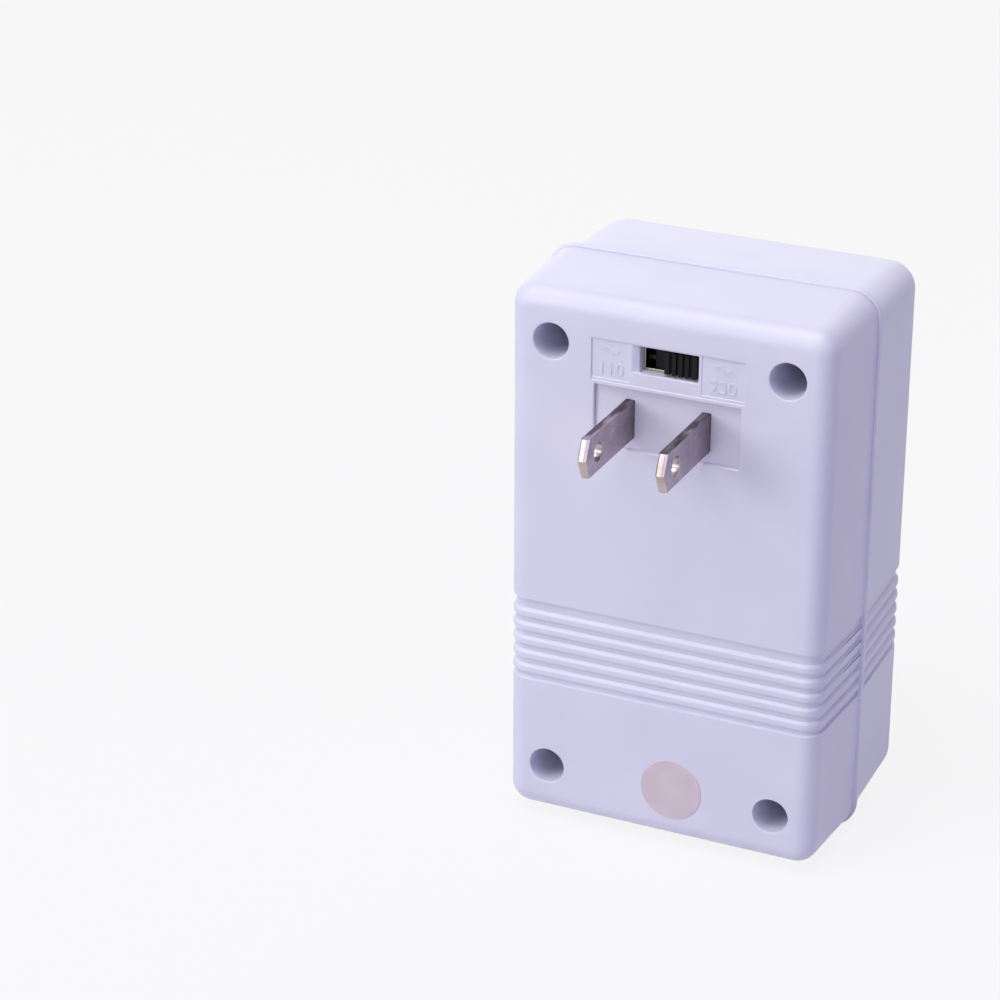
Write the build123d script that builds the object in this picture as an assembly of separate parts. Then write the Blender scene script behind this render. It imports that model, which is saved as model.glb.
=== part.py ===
from build123d import *
import os

# Plug-in voltage transformer: a small white case with a pair of flat plug
# blades on its rear face and a universal socket on its front face.
# Millimetres. It stands on its lower end: +Z up, the socket faces -Y, the
# blades point to +Y. The origin is under the middle of the whole part.

# Case, outside
lip_width = 56.2
lip_height = 94.4
lip_thick = 1.2
lip_corner_r = 4.9
lip_bevel = 0.3
front_setback = 0.45
front_top_more = 0.85
front_corner_more = 0.95
front_depth = 23.1
front_draft = 1.85
front_edge_r = 4.2
rear_setback = 0.45
rear_depth = 17.7
rear_draft = 2.95
rear_corner_more = 1.1
rear_edge_r = 3.3
wall = 2.3
bevel_per_round = 0.586
hidden_sides = 8

# Step joint between the two case halves
tongue_thick = 1.1
tongue_high = 1.0
joint_gap = 0.1
joint_depth_gap = 0.1

# Ribbed band round the case
rib_count = 5
rib_pitch = 2.5
rib_high = 1.8
rib_relief = 0.5
rib_foot = 0.08
rib_band_top = 39.4
rib_stop = 1.0

# Case screws, in deep wells that open on the rear face
screw_in_x = 8.5
screw_in_z = 9.7
well_r = 3.0
well_wall = 1.5
well_floor = 2.0
well_short = 1.0
screw_hole_r = 1.6
screw_shank_r = 1.4
screw_head_r = 2.7
screw_head_high = 2.2
screw_slot_wide = 0.9
screw_slot_deep = 1.1
screw_bite = 9.0
pillar_r = 3.6
pilot_spare = 1.5
pilot_r = 1.5

# Plug blades and the plate that holds them
blade_down = 20.6
blade_spacing = 12.7
blade_wide = 6.35
blade_thick = 1.5
blade_out = 18.2
blade_point = 1.4
blade_bevel = 0.35
blade_hole_r = 1.55
blade_hole_from_tip = 4.9
blade_tail = 5.5
blade_tail_wide = 4.2
blade_tail_hole_r = 0.8
plate_wide = 24.3
plate_high = 10.1
plate_inset = 0.7
plate_flange = 1.4
plate_block_thick = 4.0
plate_ear_thick = 1.5
plate_fit = 0.03
blade_fit = 0.03
plate_ear_x = 17.0
plate_ear_r = 2.6
plate_screw_bite = 3.6

# Small screws that hold the inner pieces
small_shank_r = 0.9
small_head_r = 1.7
small_head_high = 1.1
small_hole_r = 1.05
small_post_r = 2.2

# Slide switch
switch_x = -0.1
switch_above_blades = 10.25
window_wide = 9.9
window_high = 4.5
window_scoop = 1.3
window_scoop_deep = 0.7
frame_thick = 0.5
frame_lip_x = 0.3
frame_lip_z = 0.3
frame_ear = 1.1
frame_spare = 0.2
frame_bevel = 1.6
knob_wide = 5.4
knob_side_gap = 0.15
knob_inset = 0.5
knob_end_gap = 0.1
knob_ridges = 5
knob_ridge_deep = 0.4
knob_groove = 0.45
carriage_spare = 2.4
carriage_high = 4.2
carriage_thick = 1.8
carriage_end_gap = 0.35
carriage_side_gap = 0.2
switch_base_thick = 1.6
switch_contact_gap = 0.1
switch_body_wall = 0.7
switch_gap = 0.15
stake_r = 1.0
stake_hole_gap = 0.1
stake_head_r = 1.6
stake_head_high = 0.6
stake_clear = 0.3
terminal_wide = 1.4
terminal_thick = 0.6
terminal_out = 2.6
terminal_pitch = 4.6
terminal_row = 2.6
terminal_in = 1.0
bridge_thick = 0.4
bridge_long = 5.2
bridge_high = 1.2

# Shallow panel round the switch window, with a marking pad at each side
panel_wide = 25.5
panel_margin = 0.5
panel_deep = 0.12
pad_outer = 12.7
pad_from_scoop = 0.15
pad_from_window = 0.55
pad_high = 6.5
pad_above_blades = 9.5
pad_deep = 0.25

# Universal socket, measured from the plug blades' line
pin_line_down = 14.6
pin_outer = 14.9
pin_step_x = 11.1
pin_step_up = 3.2
pin_outer_up = 2.3
pin_outer_down = 2.35
flat_slot_outer = 7.85
flat_slot_inner = 5.25
flat_slot_up = 5.4
flat_slot_down = 3.35
foot_inner = 4.1
foot_up = 0.5
earth_half_wide = 2.6
earth_top_up = 26.65
ring_high_up = 19.9
ring_high_r = 3.8
ring_low_up = 12.4
ring_low_r = 3.35
lobe_up = 9.2
lobe_r = 1.93

# Insulating carrier behind the socket
carrier_deep = 20.6
carrier_skin = 1.4
carrier_stem_wall = 3.8
channel_grow = 0.3
strip_thick = 0.6
strip_front = 1.2
strip_long = 15.2
strip_clear = 0.15
strip_over_pin = 0.3
strip_inner = 4.5
strip_from_slot = 0.55
strip_side_short = 0.4
tag_x = 11.5
tag_wide = 3.0
tag_out = 2.2
pin_channel_deep = 17.0
retainer_thick = 1.5
retainer_post_x = 12.5
retainer_post_up = 11.3
retainer_post_r = 2.5
retainer_ear_r = 3.0
retainer_screw_bite = 5.0
earth_leaf_grip = 0.2
earth_leaf_low = 10.0
earth_bridge_gap = 0.2

# Transformer, set towards the deeper front half
core_rear_spare = 3.0
core_leg_count = 6
core_side_gap = 2.1
core_well_gap = 0.4
core_headroom = 1.35
band_thick = 1.0
band_wide = 18.0
band_hook = 3.0
bobbin_gap = 0.2
bobbin_wall = 1.1
bobbin_flange = 1.0
bobbin_wall_gap = 0.6
flange_spare = 0.4
winding_spare = 1.2
winding_bevel = 1.8
winding_gap = 0.05
tape_thick = 0.3
core_rib_in = 1.5
core_rib_thick = 1.6
core_rib_short = 4.4
core_rib_gap = 0.1
fuse_r = 1.9
fuse_long = 11.0
fuse_gap = 0.2

# Lamp and sticker
lamp_height = 9.3
lamp_hole_r = 1.5
lens_gap = 0.05
lens_inset = 0.9
lens_flange_r = 2.6
lens_flange_thick = 1.0
bulb_r = 2.2
bulb_long = 9.0
bulb_gap = 0.1
resistor_r = 1.2
resistor_long = 6.5
sticker_r = 5.2
sticker_thick = 0.12
sticker_x = -2.45
sticker_height = 10.4
name_wide = 37.3
name_tall = 7.15
name_height = 19.8
name_deep = 0.4

# Planes and heights that follow from the sizes above
front_corner_r = front_edge_r + front_corner_more
rear_corner_r = rear_edge_r + rear_corner_more
rib_bevel = rib_relief - rib_foot
case_depth = front_depth + rear_depth
y_rear = (case_depth - blade_out) / 2
y_seam = y_rear - rear_depth
y_front = y_rear - case_depth
y_rear_inner = y_rear - wall
y_front_inner = y_front + wall
z_mid = lip_height / 2
blade_height = lip_height - blade_down
z_switch = blade_height + switch_above_blades
z_pad = blade_height + pad_above_blades
z_pin = blade_height - pin_line_down
rib_band_low = rib_band_top - rib_pitch * (rib_count + 1) + (rib_pitch - rib_high)
y_rib_stop = y_seam - lip_thick - rib_stop
frame_window_wide = window_wide - 2 * frame_lip_x
frame_window_high = window_high - 2 * frame_lip_z
knob_high = frame_window_high - 2 * knob_side_gap
knob_travel = frame_window_wide - knob_wide - 2 * knob_end_gap
knob_x = switch_x - knob_travel / 2
carriage_long = knob_wide + 2 * carriage_spare
switch_body_long = carriage_long + knob_travel + 2 * (carriage_end_gap + switch_body_wall)
switch_body_high = carriage_high + 2 * (carriage_side_gap + switch_body_wall)
stake_spacing = switch_body_long + 2 * (stake_head_r + stake_clear)
frame_long = stake_spacing + 2 * (stake_r + frame_ear)
frame_high = switch_body_high + 2 * frame_spare
carrier_stem_half = ring_high_r + carrier_stem_wall
strip_top_from = flat_slot_outer + strip_from_slot
strip_above = pin_outer_up + strip_over_pin
strip_side_up = flat_slot_up - strip_side_short
earth_leaf_half = earth_half_wide - earth_leaf_grip
y_core_mid = (y_rear_inner - core_rear_spare + y_front_inner) / 2
core_wide = lip_width - 2 * (rear_setback + wall + core_side_gap + band_thick)
core_leg = core_wide / core_leg_count
core_bottom = screw_in_z + well_r + well_wall + core_well_gap + band_thick
core_top = z_pin - flat_slot_down - carrier_skin - core_headroom - band_thick
window_low = core_bottom + core_leg
window_top = core_top - core_leg
winding_build = core_leg - bobbin_gap - bobbin_wall - tape_thick - winding_spare
bobbin_flange_y = (case_depth - core_rear_spare) / 2 - wall - bobbin_wall_gap
core_stack = 2 * (bobbin_flange_y - bobbin_gap - bobbin_wall - winding_build
                  - tape_thick - flange_spare)
screw_points = [(side * (lip_width / 2 - screw_in_x), z)
                for z in (lip_height - screw_in_z, screw_in_z) for side in (-1, 1)]


def block(x0, x1, y0, y1, z0, z1):
    """A box between two opposite corners."""
    return Pos((x0 + x1) / 2, (y0 + y1) / 2, (z0 + z1) / 2) * Box(x1 - x0, y1 - y0, z1 - z0)


def rod(x, z, r, y0, y1):
    """A round bar along Y at (x, z)."""
    return Pos(x, (y0 + y1) / 2, z) * Rot(90, 0, 0) * Cylinder(r, y1 - y0)


def post(x, z, r, y0, y1):
    """A flat-sided bar along Y at (x, z), for what is hidden in the case."""
    return prism(Pos(x, z) * RegularPolygon(r, hidden_sides), y0, y1)


def bevelled_rectangle(width, height, corner_r):
    """A rectangle whose corners are cut off where a round of that radius would lie."""
    outline = Rectangle(width, height)
    return chamfer(outline.vertices(), corner_r * bevel_per_round)


def prism(sketch, y0, y1):
    """A sketch drawn in X and Z, run from y0 to y1."""
    return extrude(Plane.XZ.offset(-y1) * sketch, amount=y1 - y0)


def tapered_half(z_middle, depth, width, height, corner_r, draft, edge_r, inset, way):
    """One case half as a solid: a rounded outline at the seam, drawn in by the
    draft towards the closed face, whose edges are rounded. The inset moves every
    wall inwards alike, and inside the wall bevels take the rounds' place. The way
    is -1 towards the socket face and 1 towards the plug."""
    plane = Plane(origin=(0, y_seam, z_middle), x_dir=(-way, 0, 0), z_dir=(0, way, 0))
    make_outline = bevelled_rectangle if inset == wall else RectangleRounded
    outline = make_outline(width - 2 * inset, height - 2 * inset, corner_r - inset)
    body = extrude(plane * outline, amount=depth - inset, taper=draft)
    face_edges = body.faces().sort_by(Axis.Y)[-1 if way > 0 else 0].edges()
    if inset == wall:
        return chamfer(face_edges, (edge_r - inset) / 2)
    return fillet(face_edges, edge_r - inset)


def front_form(inset):
    return tapered_half(z_mid - front_top_more / 2, front_depth, lip_width - 2 * front_setback,
                        lip_height - 2 * front_setback - front_top_more, front_corner_r,
                        front_draft, front_edge_r, inset, -1)


def rear_form(inset):
    return tapered_half(z_mid, rear_depth, lip_width - 2 * rear_setback,
                        lip_height - 2 * rear_setback, rear_corner_r,
                        rear_draft, rear_edge_r, inset, 1)


def ribbed(form, y0, y1):
    """The outer form with its ribbed band: the wall steps in by the relief, and each
    rib is a slice of the outer form with its long edges bevelled."""
    reach = lip_width
    band = block(-reach, reach, y0, y1, rib_band_low, rib_band_top)
    body = form(0) - (band - form(rib_relief))
    for i in range(rib_count):
        low = rib_band_low + (rib_pitch - rib_high) + i * rib_pitch
        slab = form(0) & block(-reach, reach, y0, y1, low, low + rib_high)
        flat = [f for f in slab.faces() if abs(f.normal_at().Z) > 0.9]
        long_edges = [e for f in flat for e in f.edges() if not lies_on_cut(e, y0, y1)]
        body += chamfer(long_edges, rib_bevel)
    return body


def lies_on_cut(edge, y0, y1):
    """True for the straight edge where a rib ends at the seam side."""
    c = edge.center()
    return min(abs(c.Y - y0), abs(c.Y - y1)) < rib_bevel / 4


def left_aperture():
    """Line or neutral aperture: a stepped window for square pins, joined to an
    upright slot for a flat blade with a foot towards the middle."""
    points = [
        (-pin_outer, z_pin - pin_outer_down),
        (-pin_outer, z_pin + pin_outer_up),
        (-pin_step_x, z_pin + pin_outer_up),
        (-pin_step_x, z_pin + pin_step_up),
        (-flat_slot_outer, z_pin + pin_step_up),
        (-flat_slot_outer, z_pin + flat_slot_up),
        (-flat_slot_inner, z_pin + flat_slot_up),
        (-flat_slot_inner, z_pin - foot_up),
        (-foot_inner, z_pin - foot_up),
        (-foot_inner, z_pin - flat_slot_down),
        (-flat_slot_outer, z_pin - flat_slot_down),
        (-flat_slot_outer, z_pin - pin_outer_down),
    ]
    return make_face(Polyline(*points, close=True))


def earth_aperture(grow):
    """Earth aperture: an upright window, two stacked rounds and a small lobe."""
    top = z_pin + earth_top_up + grow
    low = z_pin + lobe_up
    half = earth_half_wide + grow
    middle = z_pin + ring_low_up
    shape = Pos(0, (top + middle) / 2) * Rectangle(2 * half, top - middle)
    shape += Pos(0, z_pin + ring_high_up) * Circle(ring_high_r + grow)
    shape += Pos(0, middle) * Circle(ring_low_r + grow)
    shape += Pos(0, (middle + low) / 2) * Rectangle(2 * (lobe_r + grow), middle - low)
    shape += Pos(0, low) * Circle(lobe_r + grow)
    return shape


def screw(x, z, y_seat, way, shank_r, head_r, head_high, length):
    """A screw along Y without its thread. Its round head lies against y_seat and its
    shank runs from there the way it points."""
    head = rod(x, z, head_r, *sorted((y_seat, y_seat - way * head_high)))
    return head + post(x, z, shank_r, *sorted((y_seat, y_seat + way * length)))


def front_shell():
    """Socket-side half: walls, lip, ribs, apertures, pillars and posts."""
    body = ribbed(front_form, y_front - wall, y_rib_stop)
    lip = prism(Pos(0, z_mid) * RectangleRounded(lip_width, lip_height, lip_corner_r),
                y_seam - lip_thick, y_seam)
    body += chamfer(lip.faces().sort_by(Axis.Y)[0].edges(), lip_bevel)
    body -= front_form(wall)
    body -= prism(tongue_outline(wall - tongue_thick - joint_gap),
                  y_seam - tongue_high - joint_depth_gap, y_seam)
    for x, z in screw_points:
        body += post(x, z, pillar_r, y_front_inner - wall / 2, y_seam + well_short)
        body -= post(x, z, pilot_r, y_seam + well_short - screw_bite - pilot_spare,
                     y_seam + well_short)
    for side in (-1, 1):
        body += core_rib(side, y_front_inner - wall / 2, y_core_mid - core_stack / 2 - core_rib_gap)
        post_x = side * retainer_post_x
        post_end = y_front_inner + carrier_deep
        body += post(post_x, z_pin + retainer_post_up, retainer_post_r,
                     y_front_inner - wall / 2, post_end)
        body -= post(post_x, z_pin + retainer_post_up, small_shank_r,
                     post_end - retainer_screw_bite - pilot_spare, post_end)
    left = prism(left_aperture(), y_front - wall, y_front_inner + joint_gap)
    body -= left
    body -= mirror(left, Plane.YZ)
    body -= prism(earth_aperture(0), y_front - wall, y_front_inner + joint_gap)
    body -= rod(0, lamp_height, lamp_hole_r, y_front - wall, y_front_inner + joint_gap)
    body -= block(-name_wide / 2, name_wide / 2, y_front - wall, y_front + name_deep,
                  name_height - name_tall / 2, name_height + name_tall / 2)
    return body


def tongue_outline(inset):
    """Outline of the step joint, drawn in from the rear half's open edge."""
    return Pos(0, z_mid) * bevelled_rectangle(lip_width - 2 * (rear_setback + inset),
                                              lip_height - 2 * (rear_setback + inset),
                                              rear_corner_r - inset)


def core_rib(side, y0, y1):
    """Upright rib that the transformer core's outer leg bears on."""
    x = side * (core_wide / 2 - core_rib_in)
    return block(x - core_rib_thick / 2, x + core_rib_thick / 2, y0, y1,
                 core_bottom + core_rib_short, core_top - core_rib_short)


def rear_shell():
    """Plug-side half: walls, tongue, ribs, screw wells, window and plug opening."""
    body = ribbed(rear_form, y_seam, y_rear + wall)
    body -= rear_form(wall)
    body += prism(tongue_outline(wall - tongue_thick) - tongue_outline(wall),
                  y_seam - tongue_high, y_seam)
    for x, z in screw_points:
        body += post(x, z, well_r + well_wall, y_seam + well_short, y_rear_inner + wall / 2)
    for x, z in screw_points:
        body -= rod(x, z, well_r, y_seam + well_short + well_floor, y_rear + wall)
        body -= post(x, z, screw_hole_r, y_seam, y_rear)
    for side in (-1, 1):
        body += core_rib(side, y_core_mid + core_stack / 2 + core_rib_gap, y_rear_inner + wall / 2)
        ear_x = side * plate_ear_x
        post_end = y_rear_inner - plate_block_thick + plate_ear_thick
        body += post(ear_x, blade_height, small_post_r, post_end, y_rear_inner + wall / 2)
        body -= post(ear_x, blade_height, small_shank_r, post_end, post_end + plate_screw_bite)
        stake_x = switch_x + side * stake_spacing / 2
        frame_back = y_rear_inner - frame_thick
        body += post(stake_x, z_switch, stake_r, frame_back, y_rear_inner + wall / 2)
        body += post(stake_x, z_switch, stake_head_r, frame_back - stake_head_high, frame_back)
    body -= block(-plate_wide / 2 - plate_fit, plate_wide / 2 + plate_fit,
                  y_rear_inner - wall, y_rear + wall,
                  blade_height - plate_high / 2 - plate_fit, blade_height + plate_high / 2 + plate_fit)
    window_left = switch_x + window_wide / 2
    window_right = switch_x - window_wide / 2
    body -= block(window_right, window_left, y_rear_inner - frame_thick, y_rear + wall,
                  z_switch - window_high / 2, z_switch + window_high / 2)
    scoop = make_face(Polyline((window_left - window_scoop, y_rear + window_scoop_deep),
                               (window_left - window_scoop, y_rear - window_scoop_deep),
                               (window_left, y_rear - window_scoop_deep),
                               (window_left + window_scoop, y_rear),
                               (window_left + window_scoop, y_rear + window_scoop_deep), close=True))
    body -= Pos(0, 0, z_switch - window_high / 2) * extrude(scoop, amount=window_high)
    body -= block(-panel_wide / 2, panel_wide / 2, y_rear - panel_deep, y_rear + wall,
                  z_pad - pad_high / 2 - panel_margin, z_pad + pad_high / 2)
    for x0, x1 in ((window_left + window_scoop + pad_from_scoop, pad_outer),
                   (-pad_outer, window_right - pad_from_window)):
        body -= block(x0, x1, y_rear - pad_deep, y_rear + wall, z_pad - pad_high / 2, z_pad + pad_high / 2)
    return body


def plug_plate():
    """Insert that closes the plug opening and carries the blades, with two ears."""
    y_back = y_rear_inner - plate_block_thick
    body = block(-plate_wide / 2, plate_wide / 2, y_rear_inner, y_rear - plate_inset,
                 blade_height - plate_high / 2, blade_height + plate_high / 2)
    flange_x = plate_wide / 2 + plate_flange
    flange_z = plate_high / 2 + plate_flange
    body += block(-flange_x, flange_x, y_back, y_rear_inner,
                  blade_height - flange_z, blade_height + flange_z)
    y_ear = y_back + plate_ear_thick
    body += block(-plate_ear_x, plate_ear_x, y_back, y_ear,
                  blade_height - plate_ear_r, blade_height + plate_ear_r)
    for side in (-1, 1):
        ear_x = side * plate_ear_x
        body += post(ear_x, blade_height, plate_ear_r, y_back, y_ear)
        body -= post(ear_x, blade_height, small_hole_r, y_back, y_ear)
        blade_x = side * blade_spacing / 2
        half_thick = blade_thick / 2 + blade_fit
        half_wide = blade_wide / 2 + blade_fit
        body -= block(blade_x - half_thick, blade_x + half_thick, y_back, y_rear,
                      blade_height - half_wide, blade_height + half_wide)
    return body


def plug_blade(side):
    """Flat blade: shallow point with bevelled edges, a hole, and a narrow tail with
    a solder hole behind the plate."""
    x = side * blade_spacing / 2
    half = blade_wide / 2
    tail_half = blade_tail_wide / 2
    y_tip = y_rear + blade_out
    y_shoulder = y_tip - blade_point
    y_block = y_rear_inner - plate_block_thick
    y_tail = y_block - blade_tail
    points = [
        (y_tail, blade_height - tail_half),
        (y_block, blade_height - tail_half),
        (y_block, blade_height - half),
        (y_shoulder, blade_height - half),
        (y_tip, blade_height),
        (y_shoulder, blade_height + half),
        (y_block, blade_height + half),
        (y_block, blade_height + tail_half),
        (y_tail, blade_height + tail_half),
    ]
    face = make_face(Polyline(*points, close=True))
    face -= Pos(y_tip - blade_hole_from_tip, blade_height) * Circle(blade_hole_r)
    face -= Pos(y_tail + blade_tail_wide / 2, blade_height) * RegularPolygon(blade_tail_hole_r, hidden_sides)
    body = extrude(Plane.YZ.offset(x - blade_thick / 2) * face, amount=blade_thick)
    tip_edges = [e for e in body.edges()
                 if e.center().Y > y_shoulder and abs(abs(e.center().X - x) - blade_thick / 2) < plate_fit
                 and abs(e.center().Z - blade_height) > plate_fit]
    return chamfer(tip_edges, blade_bevel)


def plug_plate_screw(side):
    return screw(side * plate_ear_x, blade_height, y_rear_inner - plate_block_thick, 1,
                 small_shank_r, small_head_r, small_head_high, plate_ear_thick + plate_screw_bite)


def case_screw(index):
    """Case screw with a driver's slot, which shows at the bottom of its well."""
    x, z = screw_points[index]
    y_seat = y_seam + well_short + well_floor
    body = screw(x, z, y_seat, -1, screw_shank_r, screw_head_r, screw_head_high,
                 well_floor + screw_bite)
    y_top = y_seat + screw_head_high
    return body - block(x - screw_head_r, x + screw_head_r, y_top - screw_slot_deep, y_top,
                        z - screw_slot_wide / 2, z + screw_slot_wide / 2)


def switch_frame():
    """Nickel-plated cover of the slide switch, with the knob's window and two ears."""
    outline = chamfer(Rectangle(frame_long, frame_high).vertices(), frame_bevel)
    outline -= Rectangle(frame_window_wide, frame_window_high)
    for side in (-1, 1):
        outline -= Pos(side * stake_spacing / 2, 0) * RegularPolygon(stake_r + stake_hole_gap, hidden_sides)
    return prism(Pos(switch_x, z_switch) * outline, y_rear_inner - frame_thick, y_rear_inner)


def switch_cavity_deep():
    return switch_gap + carriage_thick + bridge_thick + switch_contact_gap + terminal_in


def switch_body():
    """Black moulded body under the frame, hollow for the carriage."""
    y_top = y_rear_inner - frame_thick
    y_floor = y_top - switch_cavity_deep()
    body = block(switch_x - switch_body_long / 2, switch_x + switch_body_long / 2,
                 y_floor - switch_base_thick, y_top,
                 z_switch - switch_body_high / 2, z_switch + switch_body_high / 2)
    body -= block(switch_x - switch_body_long / 2 + switch_body_wall,
                  switch_x + switch_body_long / 2 - switch_body_wall, y_floor, y_top,
                  z_switch - switch_body_high / 2 + switch_body_wall,
                  z_switch + switch_body_high / 2 - switch_body_wall)
    for column in (-1, 0, 1):
        for row in (-1, 1):
            body -= terminal_bar(column, row)
    return body


def terminal_bar(column, row):
    y_floor = y_rear_inner - frame_thick - switch_cavity_deep()
    x = switch_x + column * terminal_pitch
    z = z_switch + row * terminal_row / 2
    return block(x - terminal_wide / 2, x + terminal_wide / 2,
                 y_floor - switch_base_thick - terminal_out, y_floor + terminal_in,
                 z - terminal_thick / 2, z + terminal_thick / 2)


def switch_knob():
    """Ridged knob standing in the window, on a wider carriage behind the frame."""
    y_face = y_rear - knob_inset
    y_carriage = y_rear_inner - frame_thick - switch_gap
    body = block(knob_x - knob_wide / 2, knob_x + knob_wide / 2, y_carriage, y_face,
                 z_switch - knob_high / 2, z_switch + knob_high / 2)
    pitch = knob_wide / knob_ridges
    for i in range(1, knob_ridges):
        groove_x = knob_x - knob_wide / 2 + i * pitch
        body -= block(groove_x - knob_groove / 2, groove_x + knob_groove / 2,
                      y_face - knob_ridge_deep, y_face,
                      z_switch - knob_high / 2, z_switch + knob_high / 2)
    body += block(knob_x - carriage_long / 2, knob_x + carriage_long / 2,
                  y_carriage - carriage_thick, y_carriage,
                  z_switch - carriage_high / 2, z_switch + carriage_high / 2)
    return body


def switch_bridge(row):
    """Sliding contact under the carriage that joins two neighbouring terminals."""
    y_top = y_rear_inner - frame_thick - switch_gap - carriage_thick
    z = z_switch + row * terminal_row / 2
    return block(knob_x - bridge_long / 2, knob_x + bridge_long / 2, y_top - bridge_thick, y_top,
                 z - bridge_high / 2, z + bridge_high / 2)


def carrier_outline(x_half, stem_half, grow):
    """Wide bar across both pin channels with a stem up round the earth channel."""
    low = z_pin - flat_slot_down - carrier_skin
    bar_top = z_pin + flat_slot_up + carrier_skin
    top = z_pin + earth_top_up + carrier_skin
    shape = Pos(0, (low + bar_top) / 2) * Rectangle(2 * (x_half + grow), bar_top - low)
    shape += Pos(0, (low + top) / 2) * Rectangle(2 * (stem_half + grow), top - low)
    return shape


def pin_channel(side):
    """Hollow behind one aperture that holds the contact strip, with the tag's slot."""
    x0, x1 = sorted((side * (strip_inner - strip_clear), side * (pin_outer + strip_clear)))
    low = z_pin - pin_outer_down - strip_thick - strip_clear
    cut = block(x0, x1, y_front_inner, y_front_inner + pin_channel_deep,
                low, z_pin + flat_slot_up)
    cut += block(side * tag_x - tag_wide / 2 - strip_clear, side * tag_x + tag_wide / 2 + strip_clear,
                 y_front_inner, y_front_inner + carrier_deep + retainer_thick,
                 low, z_pin - pin_outer_down + strip_clear)
    return cut


def earth_channel():
    """Hollow behind the earth aperture, widened beside the leaves."""
    half = earth_leaf_half + strip_thick + strip_clear
    top = z_pin + earth_top_up + earth_bridge_gap + strip_thick + strip_clear
    cut = prism(earth_aperture(channel_grow), y_front_inner, y_front_inner + carrier_deep)
    cut += block(-half, half, y_front_inner, y_front_inner + carrier_deep,
                 z_pin + earth_leaf_low - strip_clear, top)
    return cut


def earth_tag(clear):
    low = z_pin + earth_top_up + earth_bridge_gap
    return block(-tag_wide / 2 - clear, tag_wide / 2 + clear,
                 y_front_inner + strip_front, y_front_inner + carrier_deep + retainer_thick + tag_out,
                 low - clear, low + strip_thick + clear)


def socket_carrier():
    body = prism(carrier_outline(pin_outer + carrier_skin, carrier_stem_half, 0),
                 y_front_inner, y_front_inner + carrier_deep)
    body -= pin_channel(-1)
    body -= pin_channel(1)
    body -= earth_channel()
    return body


def socket_contact(side):
    """Bronze strip folded round one pin channel: a floor leaf, an upright leaf
    beside the flat blade, a back web and a ceiling leaf, with a solder tag."""
    y0 = y_front_inner + strip_front
    y1 = y0 + strip_long
    low = z_pin - pin_outer_down - strip_thick
    high = z_pin + strip_above
    outer = side * pin_outer
    inner = side * strip_inner
    body = block(*sorted((outer, inner)), y0, y1, low, low + strip_thick)
    body += block(*sorted((inner, inner + side * strip_thick)), y0, y1, low, z_pin + strip_side_up)
    body += block(*sorted((outer, side * strip_top_from)), y1 - strip_thick, y1,
                  low, high + strip_thick)
    body += block(*sorted((outer, side * strip_top_from)), y0, y1, high, high + strip_thick)
    body += block(side * tag_x - tag_wide / 2, side * tag_x + tag_wide / 2, y1,
                  y_front_inner + carrier_deep + retainer_thick + tag_out, low, low + strip_thick)
    return body


def earth_contact():
    """Two upright leaves joined over the top, with a solder tag."""
    y0 = y_front_inner + strip_front
    y1 = y_front_inner + carrier_deep
    top = z_pin + earth_top_up + earth_bridge_gap
    half = earth_leaf_half + strip_thick
    body = block(-half, half, y0, y1, top, top + strip_thick)
    for side in (-1, 1):
        body += block(*sorted((side * earth_leaf_half, side * half)), y0, y1,
                      z_pin + earth_leaf_low, top + strip_thick)
    return body + earth_tag(0)


def socket_retainer():
    """Plate behind the carrier with two screw ears and slots for the solder tags."""
    y0 = y_front_inner + carrier_deep
    y1 = y0 + retainer_thick
    z_ear = z_pin + retainer_post_up
    body = prism(carrier_outline(pin_outer + carrier_skin, carrier_stem_half, 0), y0, y1)
    body += block(-retainer_post_x, retainer_post_x, y0, y1,
                  z_ear - retainer_ear_r, z_ear + retainer_ear_r)
    for side in (-1, 1):
        body += post(side * retainer_post_x, z_ear, retainer_ear_r, y0, y1)
        body -= post(side * retainer_post_x, z_ear, small_hole_r, y0, y1)
        body -= pin_channel(side)
    return body - earth_tag(strip_clear)


def socket_screw(side):
    return screw(side * retainer_post_x, z_pin + retainer_post_up,
                 y_front_inner + carrier_deep + retainer_thick, -1, small_shank_r,
                 small_head_r, small_head_high, retainer_thick + retainer_screw_bite)


def core_e():
    """E-shaped stack of laminations with its legs upwards."""
    y0 = y_core_mid - core_stack / 2
    y1 = y_core_mid + core_stack / 2
    body = block(-core_wide / 2, core_wide / 2, y0, y1, core_bottom, window_top)
    for side in (-1, 1):
        x0, x1 = sorted((side * core_leg, side * 2 * core_leg))
        body -= block(x0, x1, y0, y1, window_low, window_top)
    return body


def core_i():
    return block(-core_wide / 2, core_wide / 2, y_core_mid - core_stack / 2,
                 y_core_mid + core_stack / 2, window_top, core_top)


def core_band():
    """Steel strap under the core and up both sides, hooked over the top."""
    y0 = y_core_mid - band_wide / 2
    y1 = y_core_mid + band_wide / 2
    half = core_wide / 2
    top = core_top
    body = block(-half - band_thick, half + band_thick, y0, y1, core_bottom - band_thick, core_bottom)
    for side in (-1, 1):
        body += block(*sorted((side * half, side * (half + band_thick))), y0, y1,
                      core_bottom - band_thick, top + band_thick)
        body += block(*sorted((side * (half - band_hook), side * (half + band_thick))), y0, y1,
                      top, top + band_thick)
    return body


def coil_outline(grow):
    """The winding's outer outline about the centre leg, with bevelled corners."""
    half_x = core_leg + bobbin_gap + bobbin_wall + winding_build
    half_y = core_stack / 2 + bobbin_gap + bobbin_wall + winding_build
    outline = Rectangle(2 * (half_x + grow), 2 * (half_y + grow))
    return chamfer(outline.vertices(), winding_bevel + grow * bevel_per_round)


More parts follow.
